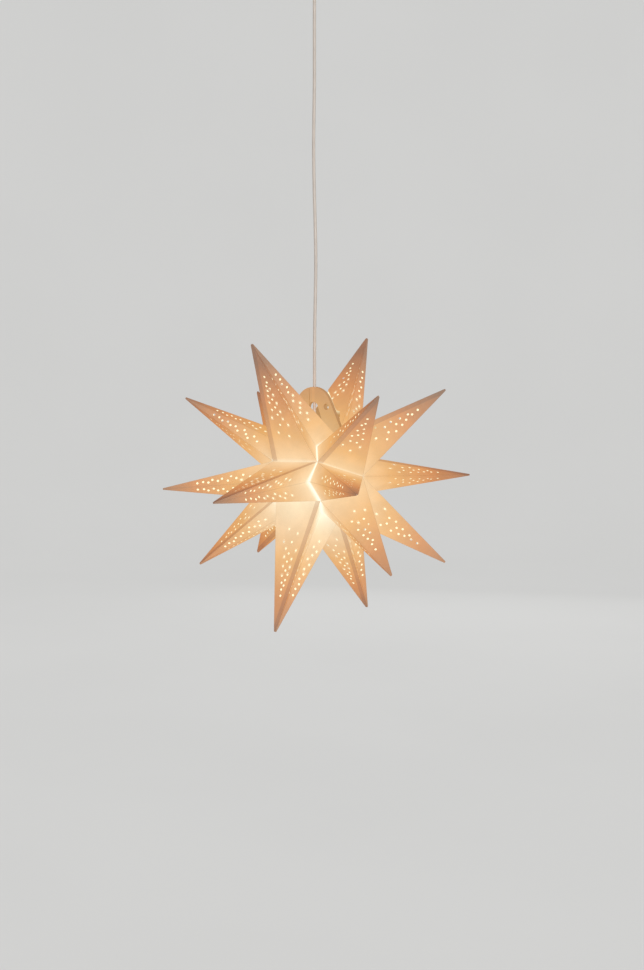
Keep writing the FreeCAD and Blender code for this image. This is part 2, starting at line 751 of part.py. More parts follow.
def build_filaments():
    """Upright LED filaments in a ring, with leads from the stem above and from a hub below."""
    stem_low = bulb_tip_z - bulb_cap_top - glass_top_drop - stem_length
    top_z = bulb_tip_z - bulb_length + globe_r + filament_length / 2
    low_z = top_z - filament_length
    hub_middle = UP * (low_z - filament_hub_drop)
    hub = Part.makeSphere(filament_hub_r, hub_middle)
    filaments = []
    leads = []
    for i in range(filament_count):
        turn = 2 * math.pi * (i + 0.5) / filament_count
        out = Vec(math.cos(turn), math.sin(turn), 0)
        high = out * (filament_ring_r * filament_top_share) + UP * top_z
        low = out * filament_ring_r + UP * low_z
        stem_side = out * (stem_r - lead_sink) + UP * (stem_low + lead_stem_rise)
        filaments.append(rod(filament_r, high, low))
        leads.append(rod(lead_r, stem_side, high, lead_end_gap))
        hub = hub.fuse(rod(lead_r, hub_middle, low, lead_end_gap))
    export("led_filaments", *filaments)
    export("filament_leads", hub, *leads)


# ---------------------------------------------------------------- ceiling fitting


def screw_slot(side):
    """Tool shape of one of the plate's long holes."""
    half = screw_slot_length / 2 - screw_slot_r
    middle_x = side * screw_slot_spacing / 2
    depth = 2 * bracket_size[2]
    top = bracket_size[2] / 2
    slot = block((2 * half, 2 * screw_slot_r, depth), middle_x, 0, top)
    for end in (-1, 1):
        slot = slot.fuse(cylinder(screw_slot_r, Vec(middle_x + end * half, 0, top), depth))
    return slot


def build_bracket():
    plate = block(bracket_size, 0, 0, 0).cut(screw_slot(-1)).cut(screw_slot(1))
    ear = block(ear_size, 0, 0, ear_sink - bracket_size[2])
    hole = cylinder(ear_hole_r, Vec(0, -ear_size[1], ear_hole_z), 2 * ear_size[1], BACK)
    export("ceiling_bracket", plate.fuse(ear).cut(hole).removeSplitter())


def build_hanger():
    """Forked block on the bracket's ear, which grips the cord and has a channel for its cores."""
    length, depth, height = hanger_size
    fork_w = ear_size[1] + 2 * hanger_fork_clearance
    body = block(hanger_size, 0, 0, hanger_top_z)
    body = body.cut(block((2 * length, fork_w, hanger_fork_depth), 0, 0, hanger_top_z))
    body = body.cut(cylinder(cord_r + cord_grip_clearance, Vec(0, 0, cord_top_z), height))
    body = body.cut(cylinder(pin_r + pin_clearance, Vec(0, -depth, ear_hole_z), 2 * depth, BACK))
    channel_z = cord_top_z + core_channel_h
    body = body.cut(cylinder(core_channel_y, Vec(0, 0, channel_z), core_channel_h))
    body = body.cut(block((length, 2 * core_channel_y, core_channel_h), length / 2, 0, channel_z))
    screw_start = Vec(length / 2, 0, (cord_top_z + hanger_low_z) / 2)
    screw = cylinder(hanger_screw_r, screw_start, length / 2 - cord_r - cord_grip_clearance, Vec(-1, 0, 0))
    export("cord_hanger", body.cut(screw))
    head = cylinder(hanger_screw_head_r, screw_start, hanger_screw_head_t, Vec(1, 0, 0))
    slot_x = length / 2 + hanger_screw_head_t
    slot = block((2 * slot_w, 2 * hanger_screw_head_r, slot_w), slot_x, 0, screw_start.z + slot_w / 2)
    export("hanger_screw", screw.fuse(head).cut(slot))
    pin = cylinder(pin_r, Vec(0, -depth / 2, ear_hole_z), depth + pin_spare, BACK)
    pin_head = cylinder(pin_head_r, Vec(0, -depth / 2 - pin_head_t, ear_hole_z), pin_head_t, BACK)
    export("hanger_pin", pin.fuse(pin_head))


def build_terminal_block():
    """Block with two wire tunnels along X and a clamping screw up into each."""
    length, depth, height = block_size
    low_z = -bracket_size[2] - height
    wire_z = low_z + height / 2
    well_depth = height / 2 - block_wire_bore_r
    body = block(block_size, block_x, 0, -bracket_size[2])
    screws = []
    for side in (-1, 1):
        y = side * block_terminal_y
        tunnel = cylinder(block_wire_bore_r, Vec(block_x - length, y, wire_z), 2 * length, Vec(1, 0, 0))
        well = cylinder(terminal_screw_r + block_well_clearance, Vec(block_x, y, low_z), well_depth, UP)
        body = body.cut(tunnel).cut(well)
        screw_low = Vec(block_x, y, low_z + block_screw_sink)
        screws.append(cylinder(terminal_screw_r, screw_low, well_depth - block_screw_sink, UP))
    export("terminal_block", body)
    export("terminal_block_screws", *screws)


def build_ceiling_cores():
    """The cord's two cores, from its top end through the hanger's channel up to the terminal block."""
    wire_z = -bracket_size[2] - block_size[2] / 2
    channel_z = cord_top_z + core_channel_h / 2
    bend_x = hanger_size[0] / 2 + core_bend_x
    cores = []
    for side in (-1, 1):
        stops = [
            Vec(0, side * core_spread, channel_z),
            Vec(bend_x, side * (core_channel_y - core_r - holder_clearance), channel_z),
            Vec(bend_x + core_r, side * block_terminal_y, wire_z),
            Vec(block_x - block_core_end, side * block_terminal_y, wire_z),
        ]
        core = Part.makeSphere(core_r, stops[1]).fuse(Part.makeSphere(core_r, stops[2]))
        for start, end in zip(stops, stops[1:]):
            core = core.fuse(rod(core_r, start, end))
        cores.append(core.removeSplitter())
    export("ceiling_cores", *cores)


def cup(radius, low_z, crown_r):
    """Solid cup shape with its crown below, from this height up past the ceiling fitting's face."""
    body = Part.makeCylinder(radius, canopy_height, Vec(0, 0, low_z))
    crown = [edge for edge in body.Edges if edge.BoundBox.ZMax < low_z + fuse_depth and edge.Length > radius]
    return body.makeFillet(crown_r, crown)


def build_canopy():
    outside = cup(canopy_r, canopy_low_z, canopy_crown_r)
    inside = cup(canopy_r - canopy_wall, canopy_low_z + canopy_wall, canopy_crown_r - canopy_wall)
    bush_hole = cylinder(bush_r + bush_clearance, Vec(0, 0, canopy_low_z + 2 * canopy_wall), 4 * canopy_wall)
    export("canopy", outside.cut(inside).cut(bush_hole))


def build_canopy_bush():
    """Bush through the canopy's floor with a flange below, a nut above and a grub screw that grips the cord."""
    bore_r = cord_r + cord_run_clearance
    bush_top_z = canopy_low_z - bush_flange_t + bush_length
    flange = cylinder(bush_flange_r, Vec(0, 0, canopy_low_z), bush_flange_t)
    barrel = cylinder(bush_r, Vec(0, 0, bush_top_z), bush_length)
    bore = cylinder(bore_r, Vec(0, 0, bush_top_z), bush_length)
    grub_start = Vec(0, -bush_flange_r, canopy_low_z - bush_flange_t / 2)
    grub = cylinder(grub_r, grub_start, bush_flange_r - bore_r, BACK)
    export("canopy_bush", barrel.fuse(flange).cut(bore).cut(grub).removeSplitter())
    export("canopy_grub_screw", grub)
    corner_r = nut_across / math.sqrt(3)
    nut_z = canopy_low_z + canopy_wall
    corners = []
    for i in range(6):
        turn = math.radians(60 * i)
        corners.append(Vec(corner_r * math.cos(turn), corner_r * math.sin(turn), nut_z))
    hexagon = Part.Face(Part.makePolygon(corners + corners[:1]))
    nut_hole = cylinder(bush_r + nut_clearance, Vec(0, 0, nut_z + 2 * nut_t), 3 * nut_t)
    export("canopy_nut", hexagon.extrude(UP * nut_t).cut(nut_hole))


def main():
    os.makedirs("parts", exist_ok=True)
    build_bracket()
    build_hanger()
    build_terminal_block()
    build_ceiling_cores()
    build_canopy()
    build_canopy_bush()
    build_cord()
    build_holder_cap()
    build_cord_clamp()
    build_holder_insert()
    build_thread_sleeve()
    build_centre_contact()
    build_holder_shell()
    build_holder_cores()
    build_bulb_cap()
    build_bulb_end()
    build_bulb_glass()
    build_stem()
    build_filaments()
    build_star()


main()
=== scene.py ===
"""Moravian star pendant: materials, cord, punched rims, bulb and studio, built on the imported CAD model.

Metres, +Z up. The origin is the middle of the ceiling fitting's face, and -Y is the star's front.
"""

import math

import bmesh
import bpy
from mathutils import Matrix, Vector


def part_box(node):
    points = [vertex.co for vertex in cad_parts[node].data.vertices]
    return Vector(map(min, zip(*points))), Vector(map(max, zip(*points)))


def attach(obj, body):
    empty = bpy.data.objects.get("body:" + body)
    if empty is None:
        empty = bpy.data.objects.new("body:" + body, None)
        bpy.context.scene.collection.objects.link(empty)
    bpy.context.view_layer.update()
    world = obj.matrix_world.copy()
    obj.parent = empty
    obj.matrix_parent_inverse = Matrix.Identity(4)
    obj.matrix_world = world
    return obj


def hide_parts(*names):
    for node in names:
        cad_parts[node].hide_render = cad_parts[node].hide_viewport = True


bl_info = {
    "name": "Moravian Star Pendant",
    "version": (1, 0, 0),
    "blender": (4, 5, 0),
    "location": "View3D > Sidebar > Star",
    "description": "Folded paper star pendant with a glowing lamp, a cord and a ceiling cup",
    "category": "Object",
}

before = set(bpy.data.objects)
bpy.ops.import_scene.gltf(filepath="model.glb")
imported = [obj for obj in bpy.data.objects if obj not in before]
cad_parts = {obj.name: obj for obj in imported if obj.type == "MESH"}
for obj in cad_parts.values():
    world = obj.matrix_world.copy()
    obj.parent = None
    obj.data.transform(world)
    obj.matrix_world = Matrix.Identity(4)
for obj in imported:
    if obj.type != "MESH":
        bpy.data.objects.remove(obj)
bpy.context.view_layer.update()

MM = 0.001
UP = Vector((0, 0, 1))

# The star, as in the part's source
LEAVES = 6
SEAM_ANGLE = 72.3
LEAF_PITCH = (360.0 - SEAM_ANGLE) / (LEAVES - 1)
MIDDLE_TIP_RADIUS = 240.0 * MM
SIDE_TIP_RADIUS = 146.5 * MM
SIDE_TIP_X = 169.0 * MM
VALLEY_RADIUS = 58.2 * MM
VALLEY_X = 39.3 * MM
HUB_X = 80.4 * MM
KINK_RADIUS = 54.4 * MM
KINK_X = 24.2 * MM
SEAM_GAP = 6.5 * MM
HOLE_R = 1.7 * MM
TIP_BLUNT = 7.0 * MM
STAR_LEAN = math.radians(2.7)
KEYHOLE_Z = 98.5 * MM
KEYHOLE_DROP = 641.0 * MM
STAR_MIDDLE = Vector((KEYHOLE_Z * math.sin(STAR_LEAN), 0, -KEYHOLE_DROP - KEYHOLE_Z * math.cos(STAR_LEAN)))
STAR_PLACE = Matrix.Translation(STAR_MIDDLE) @ Matrix.Rotation(-STAR_LEAN, 4, "Y")

# The cord's route: its offset towards the photograph's right, and its height. It is straight as far as the
# canopy slides.
ROUTE_DIRECTION = Vector((0.813, 0.582, 0))
CORD_ROUTE = [
    (0.0, -0.022),
    (0.0, -0.150),
    (0.0, -0.186),
    (-0.0008, -0.226),
    (-0.0013, -0.277),
    (-0.0003, -0.334),
    (0.0013, -0.386),
    (0.0020, -0.437),
    (0.0013, -0.481),
    (0.0003, -0.522),
    (0.0, -0.570),
    (0.0, -0.69669),
]

SIDES = {"right": 1, "left": -1}
PHOTO_SIZE = (644, 970)

# Where the copies of the CAD points are merged, and which of their faces lie on a fold of the paper
MERGE_DISTANCE = 0.002 * MM
PAPER_DEPTH = 2.5 * MM
SAME_PLANE = 0.999
ACROSS_PLANE = 0.5
TURN_WEIGHT = 0.1
LARGEST_HOLE = 1.6 * HOLE_R
TIP_CLEARANCE = 3 * TIP_BLUNT
NO_FLAP = -0.01
FLAP_TIP_SHARE = 0.72

# The glow: distances from the filaments between which it falls, and the shares of that way of its colours
GLOW_START, GLOW_END = 0.035, 0.250
GLOW_STOPS = (0.04, 0.17, 0.38, 0.64, 0.92)
TAB_GLOW = 0.78
STRIPE_GLOW = 0.86
STRIPE_HALF_WIDTH = (2.0 * MM, 2.7 * MM)

# The bright line and the halo along the folds that lie nearest the lamp
FOLD_NEAR, FOLD_FAR = 0.056, 0.084
LINE_START_NEAR, LINE_START_FAR = 0.895, 0.972
LINE_POWER = 1.7
HALO_START = 0.70
HALO_NEAR, HALO_FAR, HALO_LIGHT = 0.045, 0.078, 0.55
FOLD_LIGHT = (1.0, 0.92, 0.76)

# Painted shade where the paper is doubled and along the creases, and the surface of the paper
DOUBLED_GLOW_TINT = (1.0, 0.88, 0.84)
FLAP_EDGE = 0.3 * MM
CREASE_EDGE = (0.2 * MM, 1.0 * MM)
CREASE_PAINTED_SHADE = -0.16
CLOUD_SCALE, FIBRE_SCALE, TOOTH_SCALE = 38.0, 900.0, 1400.0
TOOTH_HEIGHT = 0.06 * MM
SCRATCH_SCALE = 700.0
PAPER_ROUGHNESS = 0.82
PAPER_SPECULAR = 0.25

# The inner faces in the lampholder's shadow: slope from the filaments, share of a point's height, and depth
SHADOW_SLOPE = (0.9, 1.2)
SHADOW_DOWN = (0.60, 0.68)
SHADOW_DEPTH = (0.010, 0.030)

# The studio: each lamp's name, its turn from the camera in degrees, its height over the star and its power
LAMPS = [("key", 12, 0.60, 69.0), ("side", -110, 0.3, 11.0), ("back", 170, 0.4, 18.0)]
LAMP_DISTANCE = 3.2
LAMP_SIZE = 1.8
WORLD_COLOR = (0.95, 0.96, 1.0, 1.0)
WORLD_LIGHT = 0.10
BACKDROP_LIGHT = 0.84
BACKDROP_SHADOWS = 0.14
BACKDROP_RADIUS, BACKDROP_BEND, BACKDROP_HEIGHT = 5.0, 1.2, 6.0
BACKDROP_SIDES, BEND_STEPS = 96, 12
FARTHEST_SEEN = 50.0


# ---------------------------------------------------------------- settings


class PaperSettings(bpy.types.PropertyGroup):
    """Sizes and colours of the star's paper."""

    glow_near: bpy.props.FloatVectorProperty(
        name="Glow Near the Lamp", description="Light through the paper beside the lamp",
        subtype="COLOR", size=3, default=(0.84, 0.64, 0.41))
    glow_base: bpy.props.FloatVectorProperty(
        name="Glow at the Base", description="Light through the paper at the foot of a point",
        subtype="COLOR", size=3, default=(0.81, 0.53, 0.30))
    glow_middle: bpy.props.FloatVectorProperty(
        name="Glow Half Way", description="Light through the paper half way up a point",
        subtype="COLOR", size=3, default=(0.72, 0.345, 0.100))
    glow_far: bpy.props.FloatVectorProperty(
        name="Glow Far Out", description="Light through the paper near the end of a point",
        subtype="COLOR", size=3, default=(0.58, 0.185, 0.030))
    glow_tip: bpy.props.FloatVectorProperty(
        name="Glow at the Tips", description="Light through the paper at the tips",
        subtype="COLOR", size=3, default=(0.27, 0.072, 0.018))
    glow_inside: bpy.props.FloatVectorProperty(
        name="Glow Inside", description="Lit inner face of the paper, seen through the holes",
        subtype="COLOR", size=3, default=(1.0, 0.88, 0.60))
    glow_shadow: bpy.props.FloatVectorProperty(
        name="Shadow Inside", description="Inner faces that the lampholder and the sheets shade",
        subtype="COLOR", size=3, default=(0.38, 0.15, 0.035))
    paper_color: bpy.props.FloatVectorProperty(
        name="Paper", description="Colour of the paper's surface",
        subtype="COLOR", size=3, default=(0.175, 0.222, 0.190))
    flap_width: bpy.props.FloatProperty(
        name="Flap Width", description="Width of the glued overlaps beside the ridges",
        unit="LENGTH", default=8.0 * MM)
    flap_shade: bpy.props.FloatProperty(
        name="Flap Shade", description="Share of the light that the doubled paper lets through",
        subtype="FACTOR", min=0.0, max=1.0, default=0.76)
    rim_width: bpy.props.FloatProperty(
        name="Rim Thickness", description="Thickness of the pressed edge round each hole",
        unit="LENGTH", default=0.14 * MM)


class CordSettings(bpy.types.PropertyGroup):
    """The lamp's cord."""

    diameter: bpy.props.FloatProperty(
        name="Diameter", description="Diameter of the cord", unit="LENGTH", default=4.6 * MM)
    jacket_color: bpy.props.FloatVectorProperty(
        name="Jacket", description="Colour of the cord's jacket",
        subtype="COLOR", size=3, default=(0.72, 0.635, 0.56))


class LampSettings(bpy.types.PropertyGroup):
    """Lampholder and bulb."""

    plastic_color: bpy.props.FloatVectorProperty(
        name="Plastic", description="Colour of the lampholder and the ceiling cup",
        subtype="COLOR", size=3, default=(0.80, 0.79, 0.76))
    filament_light: bpy.props.FloatProperty(
        name="Filament Light", description="Strength of the light of the bulb's filaments",
        min=0.0, default=3.0)
    rib_count: bpy.props.IntProperty(
        name="Grip Ribs", description="Ribs round the lampholder's shell", min=0, default=36)
    rib_height: bpy.props.FloatProperty(
        name="Rib Height", description="How far a rib stands out of the shell",
        unit="LENGTH", default=0.35 * MM)


class StageSettings(bpy.types.PropertyGroup):
    """Camera, lights and floor."""

    azimuth: bpy.props.FloatProperty(
        name="Azimuth", description="Camera's angle round the star from its front",
        subtype="ANGLE", default=math.radians(35.6))
    elevation: bpy.props.FloatProperty(
        name="Elevation", description="Camera's angle above the star's middle",
        subtype="ANGLE", default=math.radians(6.43))
    distance: bpy.props.FloatProperty(
        name="Distance", description="From the camera to the star's middle", unit="LENGTH", default=2.544)
    focal_length: bpy.props.FloatProperty(
        name="Focal Length", description="Camera lens in millimetres", default=65.1)
    star_x: bpy.props.FloatProperty(
        name="Star Across", description="Where the star's middle lies across the frame", default=317.14)
    star_y: bpy.props.FloatProperty(
        name="Star Down", description="Where the star's middle lies down the frame", default=475.34)
    floor_color: bpy.props.FloatVectorProperty(
        name="Floor", description="Colour of the floor and backdrop",
        subtype="COLOR", size=3, default=(0.72, 0.72, 0.71))
    floor_drop: bpy.props.FloatProperty(
        name="Floor Drop", description="From the ceiling to the floor", unit="LENGTH", default=1.5)


# ---------------------------------------------------------------- material nodes


class Shader:
    """A material's node tree, with short calls to add and link nodes."""

    def __init__(self, name):
        self.material = bpy.data.materials.new(name)
        self.material.use_nodes = True
        self.tree = self.material.node_tree
        self.tree.nodes.clear()
        self.output = self.tree.nodes.new("ShaderNodeOutputMaterial")

    def add(self, kind, inputs=None, **settings):
        node = self.tree.nodes.new("ShaderNode" + kind)
        for name, value in settings.items():
            setattr(node, name, value)
        for key, value in (inputs or {}).items():
            self.set(node.inputs[key], value)
        return node

    def set(self, socket, value):
        if isinstance(value, bpy.types.NodeSocket):
            self.tree.links.new(value, socket)
        elif socket.type == "RGBA" and len(value) == 3:
            socket.default_value = (*value, 1.0)
        else:
            socket.default_value = value

    def place(self):
        return self.add("TexCoord").outputs["Object"]

    def attribute(self, name):
        node = self.add("Attribute", attribute_name=name)
        return self.add("SeparateXYZ", {0: node.outputs["Vector"]}).outputs

    def math(self, operation, a, b=0.0):
        return self.add("Math", {0: a, 1: b}, operation=operation).outputs[0]

    def span(self, value, start, end, low=0.0, high=1.0, smooth=True):
        """Carries a value from start to end over to low to high."""
        limits = {"Value": value, "From Min": start, "From Max": end, "To Min": low, "To Max": high}
        kind = "SMOOTHSTEP" if smooth else "LINEAR"
        return self.add("MapRange", limits, interpolation_type=kind).outputs[0]

    def mix(self, share, a, b, blend="MIX"):
        node = self.add("Mix", data_type="RGBA", blend_type=blend)
        self.set(node.inputs[0], share)
        self.set(node.inputs[6], a)
        self.set(node.inputs[7], b)
        return node.outputs[2]

    def scaled(self, color, light):
        """A colour times a plain brightness."""
        grey = self.add("CombineXYZ", {0: light, 1: light, 2: light}).outputs[0]
        return self.mix(1.0, color, grey, "MULTIPLY")

    def ramp(self, value, stops):
        node = self.add("ValToRGB", {"Fac": value})
        elements = node.color_ramp.elements
        while len(elements) < len(stops):
            elements.new(0.5)
        for element, (position, color) in zip(elements, stops):
            element.position = position
            element.color = (*color, 1.0)
        return node.outputs["Color"]

    def noise(self, scale, detail=3.0, vector=None, roughness=0.5):
        vector = vector or self.place()
        inputs = {"Vector": vector, "Scale": scale, "Detail": detail, "Roughness": roughness}
        return self.add("TexNoise", inputs).outputs["Fac"]

    def bump(self, height, distance):
        return self.add("Bump", {"Height": height, "Distance": distance, "Strength": 1.0}).outputs[0]

    def surface(self, **inputs):
        """Ends the tree in a Principled shader. Underscores in the names stand for spaces."""
        named = {key.replace("_", " "): value for key, value in inputs.items()}
        shader = self.add("BsdfPrincipled", named)
        self.tree.links.new(shader.outputs[0], self.output.inputs["Surface"])
        return self.material


def filament_middle():
    low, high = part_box("led_filaments")
    return (Vector(low) + Vector(high)) / 2


def from_filaments(shader, operation):
    """The distance from the filaments' middle, or the vector, by the operation's name."""
    return shader.add("VectorMath", {0: shader.place(), 1: filament_middle()}, operation=operation).outputs


def lamp_distance(shader):
    return from_filaments(shader, "DISTANCE")["Value"]


def lamp_glow(shader, paper):
    """Colour of the light through the paper, which falls with the distance from the bulb."""
    share = shader.span(lamp_distance(shader), GLOW_START, GLOW_END, smooth=False)
    colors = (paper.glow_near, paper.glow_base, paper.glow_middle, paper.glow_far, paper.glow_tip)
    return shader.ramp(share, list(zip(GLOW_STOPS, colors)))


def fibres(shader):
    """Brightness of the paper's fibres and clouds, about 1."""
    cloud = shader.span(shader.noise(CLOUD_SCALE, 4.0), 0.3, 0.7, 0.94, 1.05)
    fibre = shader.span(shader.noise(FIBRE_SCALE, 2.0, roughness=0.7), 0.25, 0.75, 0.955, 1.035)
    return shader.math("MULTIPLY", cloud, fibre)


def lampholder_shadow(shader, down):
    """How much of the bulb's light the lampholder keeps from a place inside the last leaf."""
    offset = from_filaments(shader, "SUBTRACT")["Vector"]
    east, north, high = shader.add("SeparateXYZ", {0: offset}).outputs
    level = shader.add("CombineXYZ", {0: east, 1: north}).outputs[0]
    aside = shader.add("VectorMath", {0: level}, operation="LENGTH").outputs["Value"]
    slope = shader.math("DIVIDE", high, shader.math("MAXIMUM", aside, 1.0 * MM))
    hidden = shader.math("MULTIPLY", shader.span(slope, *SHADOW_SLOPE), shader.span(down, *SHADOW_DOWN))
    return shader.math("MULTIPLY", hidden, shader.span(north, *SHADOW_DEPTH))


def glowing_paper(shader, paper, glow):
    """Ends a material in the paper's dull surface, which gives off the glow."""
    tooth = shader.noise(TOOTH_SCALE, 3.0, roughness=0.65)
    dark = Vector(paper.paper_color) * 0.94
    color = shader.mix(shader.span(tooth, 0.3, 0.7), dark, paper.paper_color)
    return shader.surface(
        Base_Color=color, Roughness=PAPER_ROUGHNESS, Specular_IOR_Level=PAPER_SPECULAR,
        Emission_Color=glow, Emission_Strength=1.0, Normal=shader.bump(tooth, TOOTH_HEIGHT))


def paper_material(paper):
    """Folded, lit paper. It reads how far a place lies from its ridges, its flap and its valley."""
    shader = Shader("lit_paper")
    left_gap, right_gap, down = shader.attribute("fold")
    flap, valley, inside = shader.attribute("sheet")
    glow = lamp_glow(shader, paper)
    # painted shade of the overlap beside a ridge: the doubled paper lets less of the glow through, in a
    # warmer tint
    doubled = shader.span(flap, -FLAP_EDGE, FLAP_EDGE)
    lost = shader.math("MULTIPLY", doubled, 1 - paper.flap_shade)
    shade = shader.math("SUBTRACT", 1.0, lost)
    doubled_tint = shader.mix(doubled, (1, 1, 1), DOUBLED_GLOW_TINT)
    glow = shader.mix(1.0, glow, doubled_tint, "MULTIPLY")
    # painted highlight: a bright line and halo along the fold that lies nearest the lamp
    away = lamp_distance(shader)
    start = shader.span(away, FOLD_NEAR, FOLD_FAR, LINE_START_NEAR, LINE_START_FAR)
    line = shader.math("POWER", shader.span(down, start, 1.0, smooth=False), LINE_POWER)
    near_lamp = shader.span(away, HALO_NEAR, HALO_FAR, HALO_LIGHT, 0.0)
    halo = shader.math("MULTIPLY", shader.span(down, HALO_START, 1.0), near_lamp)
    near_fold = shader.math("MULTIPLY", shader.math("MAXIMUM", line, halo), valley)
    glow = shader.mix(near_fold, glow, FOLD_LIGHT)
    # painted shade along the creased ridges: the glow darkens near each ridge
    ridge_gap = shader.math("MINIMUM", left_gap, right_gap)
    crease_shade_mask = shader.span(ridge_gap, *CREASE_EDGE, 1.0, 0.0)
    crease_shading = shader.math("ADD", 1.0, shader.math("MULTIPLY", crease_shade_mask, CREASE_PAINTED_SHADE))
    light = shader.math("MULTIPLY", shade, fibres(shader))
    glow = shader.scaled(glow, shader.math("MULTIPLY", light, crease_shading))
    # inner faces
    hidden = lampholder_shadow(shader, down)
    glow = shader.mix(inside, glow, shader.mix(hidden, paper.glow_inside, paper.glow_shadow))
    return glowing_paper(shader, paper, glow)


def tab_material(paper):
    """The tab's sheets. Their inner faces lie in shadow, and the cord between them shows as a stripe."""
    shader = Shader("tab_paper")
    low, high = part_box("tab_back_sheet")
    across, deep, _ = shader.add("SeparateXYZ", {0: shader.place()}).outputs
    stripe = shader.span(shader.math("ABSOLUTE", across), *STRIPE_HALF_WIDTH, STRIPE_GLOW, TAB_GLOW)
    light = shader.math("MULTIPLY", fibres(shader), stripe)
    glow = shader.scaled(lamp_glow(shader, paper), light)
    inner = shader.span(shader.math("ABSOLUTE", deep), low[1], (low[1] + high[1]) / 2, 1.0, 0.0)
    glow = shader.mix(inner, glow, paper.glow_shadow)
    return glowing_paper(shader, paper, glow)


def rim_material(paper):
    """The pressed edge of a hole, lit from inside."""
    shader = Shader("punched_rim")
    light = shader.span(shader.noise(1200.0, 2.0), 0.3, 0.7, 0.85, 1.0)
    glow = shader.mix(light, Vector(paper.glow_inside) * 0.7, paper.glow_near)
    return shader.surface(
        Base_Color=paper.paper_color, Roughness=0.9, Emission_Color=glow, Emission_Strength=1.0)


def plastic_material(name, color, roughness=0.42):
    """Moulded plastic with a fine texture and faint clouds of dust and wear."""
    shader = Shader(name)
    cloud = shader.span(shader.noise(55.0, 4.0), 0.3, 0.7)
    tint = shader.mix(cloud, Vector(color) * 0.95, color)
    grain = shader.noise(2600.0, 2.0)
    rough = shader.span(shader.noise(160.0, 3.0), 0.3, 0.7, roughness - 0.06, roughness + 0.08)
    return shader.surface(Base_Color=tint, Roughness=rough, Normal=shader.bump(grain, 0.00002))


def metal_material(name, color, roughness):
    """Metal with fine drawn scratches round Z and slight tarnish."""
    shader = Shader(name)
    stretch = shader.add("Mapping", {"Vector": shader.place(), "Scale": (1.0, 1.0, 0.08)}).outputs[0]
    scratch = shader.noise(SCRATCH_SCALE, 3.0, stretch, 0.7)
    cloud = shader.span(shader.noise(120.0, 3.0), 0.35, 0.75)
    tint = shader.mix(cloud, color, Vector(color) * 0.86)
    rough = shader.span(scratch, 0.25, 0.75, roughness - 0.07, roughness + 0.10)
    return shader.surface(
        Base_Color=tint, Metallic=1.0, Roughness=rough, Normal=shader.bump(scratch, 0.00002))


def cord_material(color):
    """Smooth plastic jacket with the faint lay of the two cores under it."""
    shader = Shader("cord_jacket")
    place = shader.add("Mapping", {"Vector": shader.place(), "Scale": (1.0, 1.0, 0.15)}).outputs[0]
    cloud = shader.span(shader.noise(70.0, 3.0), 0.3, 0.7)
    tint = shader.mix(cloud, Vector(color) * 0.93, color)
    lay = shader.noise(420.0, 2.0, place)
    rough = shader.span(lay, 0.3, 0.7, 0.38, 0.50)
    return shader.surface(Base_Color=tint, Roughness=rough, Normal=shader.bump(lay, 0.00008))


def glass_material(name):
    """Clear glass with faint smears."""
    shader = Shader(name)
    smear = shader.span(shader.noise(90.0, 3.0), 0.35, 0.7, 0.01, 0.07)
    return shader.surface(
        Base_Color=(1.0, 0.97, 0.92), Roughness=smear, IOR=1.45, Transmission_Weight=1.0)


def filament_material(lamp):
    """Glowing filament with brighter dots along it."""
    shader = Shader("filament_glow")
    dots = shader.span(shader.noise(500.0, 1.0), 0.35, 0.65)
    glow = shader.mix(dots, (1.0, 0.62, 0.26), (1.0, 0.80, 0.48))
    return shader.surface(
        Base_Color=(0.9, 0.75, 0.4), Roughness=0.6,
        Emission_Color=glow, Emission_Strength=lamp.filament_light)


def finish_node(node, material):
    """Gives a CAD node a material in all its slots."""
    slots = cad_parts[node].material_slots
    for place in slots:
        place.material = material
    if not slots:
        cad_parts[node].data.materials.append(material)


# ---------------------------------------------------------------- the star's geometry


def round_x(radius, x, angle):
    """A place in the star, from its distance to the star's X axis, its x and its angle round that axis."""
    turn = math.radians(angle)
    return STAR_PLACE @ Vector((x, -radius * math.cos(turn), radius * math.sin(turn)))


def leaf_angle(leaf):
    return 90.0 - SEAM_ANGLE / 2 - (leaf - 1) * LEAF_PITCH


def valley_corner(fold, side):
    """Corner where two leaves meet. The first and the last fold are the two sides of the seam."""
    if fold in (0, LEAVES):
        y = SEAM_GAP / 2 if fold else -SEAM_GAP / 2
        return STAR_PLACE @ Vector((side * VALLEY_X, y, VALLEY_RADIUS))
    return round_x(VALLEY_RADIUS, side * VALLEY_X, leaf_angle(fold) - LEAF_PITCH / 2)


def kink(leaf, side):
    return round_x(KINK_RADIUS, side * KINK_X, leaf_angle(leaf))


def middle_faces(leaf):
    """Tip of a middle point, and its faces: left and right corner, weight of the valley, flap's ridge."""
    tip = round_x(MIDDLE_TIP_RADIUS, 0, leaf_angle(leaf))
    right_top, right_low = valley_corner(leaf - 1, 1), valley_corner(leaf, 1)
    left_top, left_low = valley_corner(leaf - 1, -1), valley_corner(leaf, -1)
    return tip, [
        (right_top, kink(leaf, 1), 1.0, None),
        (kink(leaf, 1), right_low, 1.0, None),
        (right_low, left_low, 0.25, left_low if leaf < LEAVES else None),
        (left_low, kink(leaf, -1), 1.0, None),
        (kink(leaf, -1), left_top, 1.0, None),
        (left_top, right_top, 0.25, right_top),
    ]


def side_faces(leaf, side):
    """As middle_faces, for the point to one side of the leaf."""
    tip = round_x(SIDE_TIP_RADIUS, side * SIDE_TIP_X, leaf_angle(leaf))
    top, low = valley_corner(leaf - 1, side), valley_corner(leaf, side)
    hub = STAR_PLACE @ Vector((side * HUB_X, 0, 0))
    return tip, [
        (top, kink(leaf, side), 1.0, None),
        (kink(leaf, side), low, 1.0, None),
        (low, hub, 0.25, low if side > 0 else None),
        (hub, top, 0.25, top if side < 0 else None),
    ]


